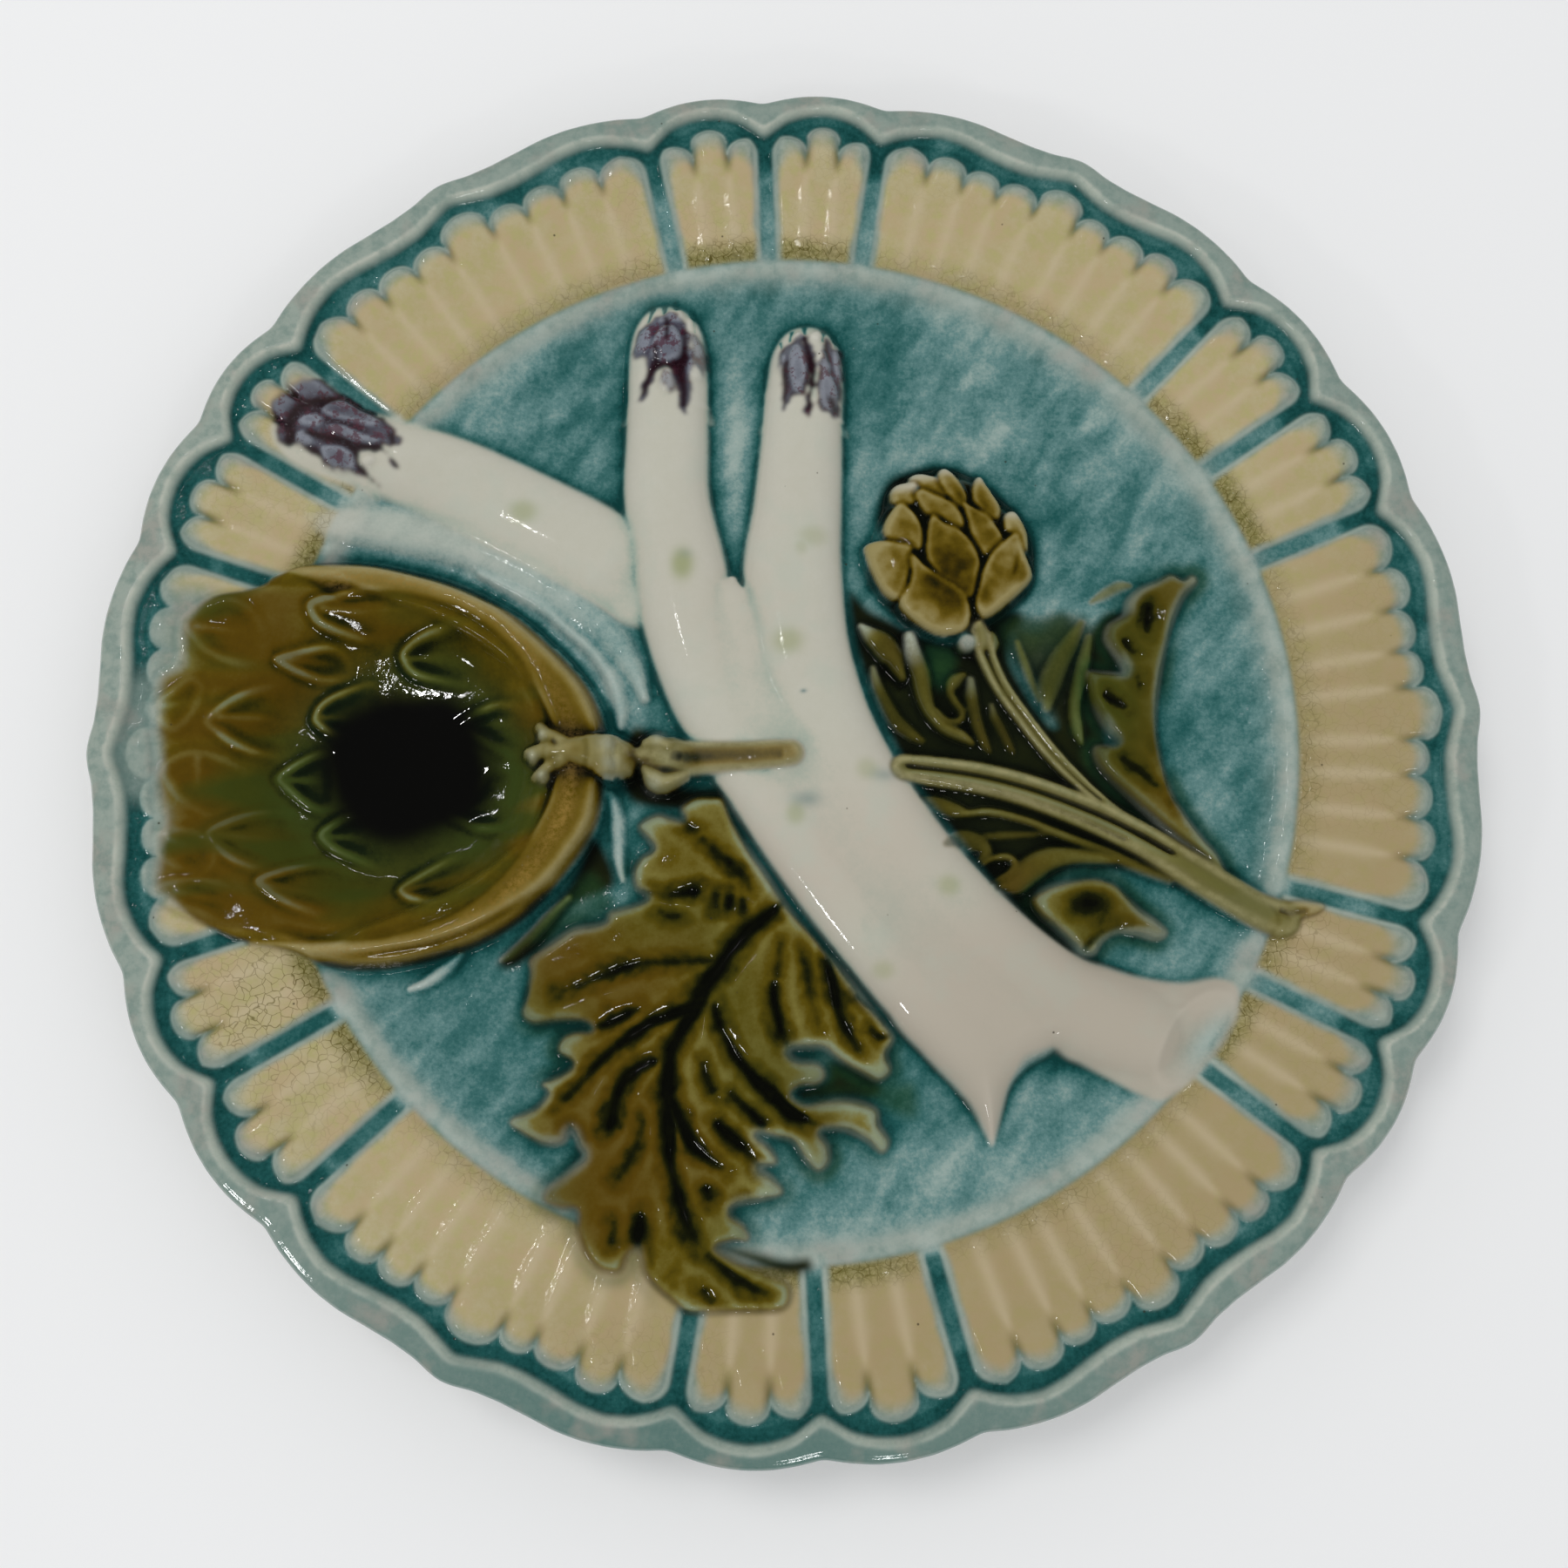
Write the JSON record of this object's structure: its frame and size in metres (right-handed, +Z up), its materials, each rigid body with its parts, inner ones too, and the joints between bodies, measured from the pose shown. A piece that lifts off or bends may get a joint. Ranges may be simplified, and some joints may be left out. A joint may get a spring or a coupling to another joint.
{
  "type": "asparagus plate",
  "caption": "Round scalloped earthenware serving plate with moulded asparagus and artichoke relief, a fluted rim and a built-in oval-edged sauce hollow.",
  "frame": {"origin": "on the table under the middle of the plate, at the bottom of the foot ring", "axes": "+Z up out of the plate's face; +Y towards the asparagus heads, +X away from the sauce hollow"},
  "size_m": [0.24, 0.24, 0.0213],
  "materials": {
    "body_glaze": "mottled blue-teal majolica glaze, glossy",
    "lip_glaze": "pale grey-teal glaze over the scalloped edge, glossy",
    "ring_glaze": "pale grey-blue glaze, thin on the raised bead",
    "cream_glaze": "cream-yellow glaze with fine crazing, pale on the flute ends",
    "ivory_glaze": "ivory glaze, glossy, smooth",
    "purple_glaze": "streaky purple-black glaze over ivory",
    "olive_glaze": "olive-brown glaze that pools almost black in the grooves",
    "amber_glaze": "amber-brown glaze, thin on the ridges",
    "stem_glaze": "ochre glaze, pale along the ridges",
    "foot_clay": "thinly glazed earthenware foot, satin"
  },
  "bodies": {
    "root": {"plate_body": "body_glaze", "foot_ring": "foot_clay", "edge_lip": "lip_glaze", "well_ring": "ring_glaze", "wide_panels": "cream_glaze", "narrow_panels": "cream_glaze", "spear_left": "ivory_glaze", "spear_centre": "ivory_glaze", "spear_right": "ivory_glaze", "asparagus_tips": "purple_glaze", "sauce_bowl": "olive_glaze", "sauce_lip": "amber_glaze", "sauce_scales": "olive_glaze", "stem_knuckle": "stem_glaze", "sauce_stem": "stem_glaze", "artichoke_bud": "amber_glaze", "bud_scales": "amber_glaze", "bud_stem": "stem_glaze", "long_stem": "stem_glaze", "cut_end": "stem_glaze", "leaf_large": "olive_glaze", "leaf_veins": "olive_glaze", "leaf_right": "olive_glaze", "leaf_left": "olive_glaze", "leaf_lower": "olive_glaze"}
  },
  "joints": []
}
